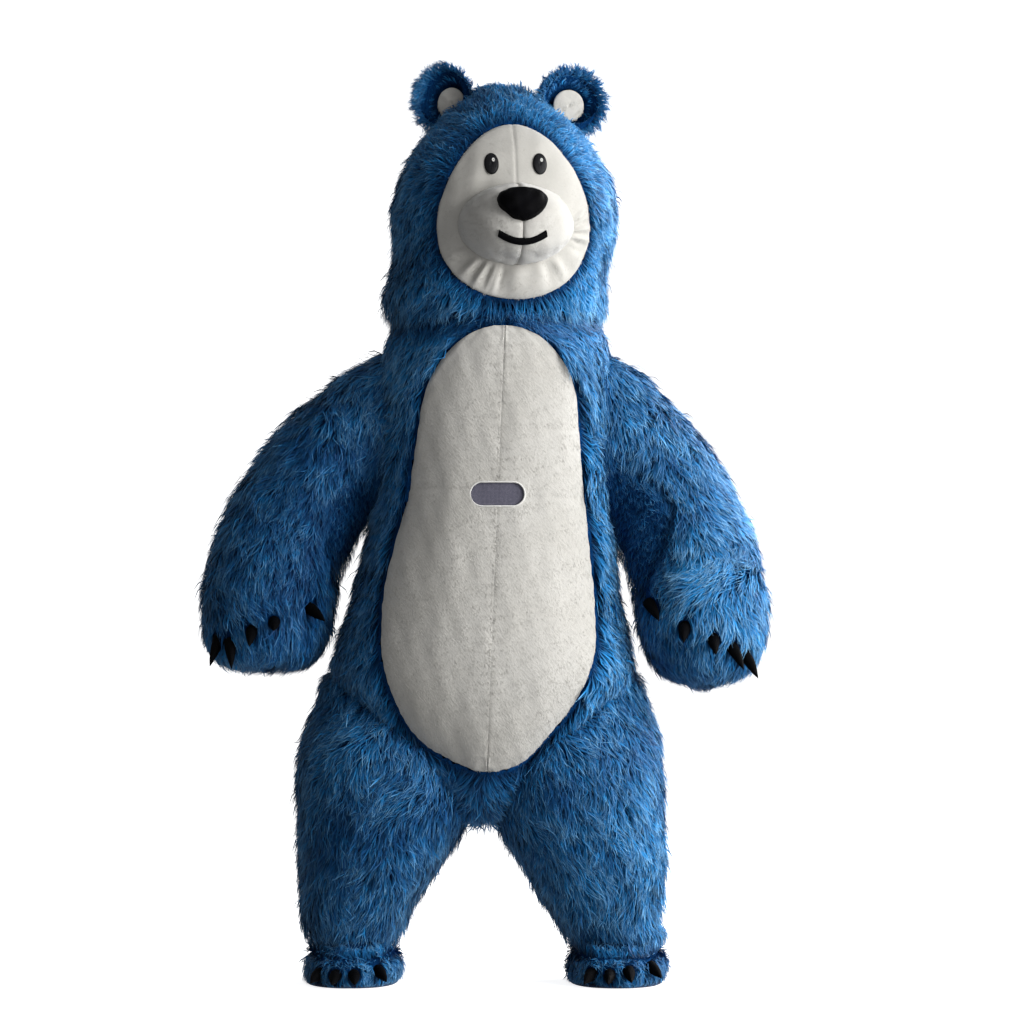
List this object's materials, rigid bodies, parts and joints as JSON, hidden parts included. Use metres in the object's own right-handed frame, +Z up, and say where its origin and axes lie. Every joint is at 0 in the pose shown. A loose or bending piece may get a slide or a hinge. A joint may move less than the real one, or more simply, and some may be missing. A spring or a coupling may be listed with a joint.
{
  "type": "bear mascot costume",
  "caption": "Air-filled bear mascot costume in long blue plush with a pale belly and face, a see-through window, paws with claws and a back zip, standing on its own soles.",
  "frame": {"origin": "on the floor under the middle of the figure's box", "axes": "+Z up, the bear faces -Y, +X to the viewer's right"},
  "size_m": [1.8351, 0.9855, 3],
  "materials": {
    "blue_fur": "long-pile plush, locks lying down the limbs, dark at the root and light at the tips",
    "pale_nap": "short-pile off-white plush with a fine slanting nap",
    "window_mesh": "see-through woven mesh, grey violet",
    "white_piping": "smooth white piping",
    "zip_tape": "woven blue zip tape",
    "zip_metal": "dull nickel",
    "black_plush": "black satin plush with a soft gloss",
    "sole_cloth": "hard-wearing dark blue woven sole cloth"
  },
  "bodies": {
    "costume": {"belly_left": "pale_nap", "belly_right": "pale_nap", "claw_foot_left_1": "black_plush", "claw_foot_left_2": "black_plush", "claw_foot_left_3": "black_plush", "claw_foot_left_4": "black_plush", "claw_foot_right_1": "black_plush", "claw_foot_right_2": "black_plush", "claw_foot_right_3": "black_plush", "claw_foot_right_4": "black_plush", "claw_hand_left_1": "black_plush", "claw_hand_left_2": "black_plush", "claw_hand_left_3": "black_plush", "claw_hand_left_4": "black_plush", "claw_hand_left_5": "black_plush", "claw_hand_right_1": "black_plush", "claw_hand_right_2": "black_plush", "claw_hand_right_3": "black_plush", "claw_hand_right_4": "black_plush", "claw_hand_right_5": "black_plush", "ear_inner_left": "pale_nap", "ear_inner_right": "pale_nap", "ear_left": "blue_fur", "ear_right": "blue_fur", "eye_left": "black_plush", "eye_right": "black_plush", "face_panel": "pale_nap", "foot_left": "blue_fur", "foot_right": "blue_fur", "forearm_left": "blue_fur", "forearm_right": "blue_fur", "head_left": "blue_fur", "head_right": "blue_fur", "leg_back_left": "blue_fur", "leg_back_right": "blue_fur", "leg_front_left": "blue_fur", "leg_front_right": "blue_fur", "mouth": "black_plush", "muzzle_left": "pale_nap", "muzzle_right": "pale_nap", "nose": "black_plush", "sole_left": "sole_cloth", "sole_right": "sole_cloth", "torso_back_left": "blue_fur", "torso_back_right": "blue_fur", "torso_front_left": "blue_fur", "torso_front_right": "blue_fur", "upper_arm_left": "blue_fur", "upper_arm_right": "blue_fur", "window_mesh": "window_mesh", "window_piping": "white_piping", "zip_coil": "zip_metal", "zip_slider": "zip_metal", "zip_tape_left": "zip_tape", "zip_tape_right": "zip_tape"},
    "pull": {"zip_pull": "zip_metal"}
  },
  "joints": [
    {"name": "pull_tab", "type": "hinge", "parent": "costume", "child": "pull", "pos_m": [0.0576, 0.38741, 1.90031], "axis": [0.9992, 0.0011, -0.0404], "range_deg": [0, 150]}
  ]
}
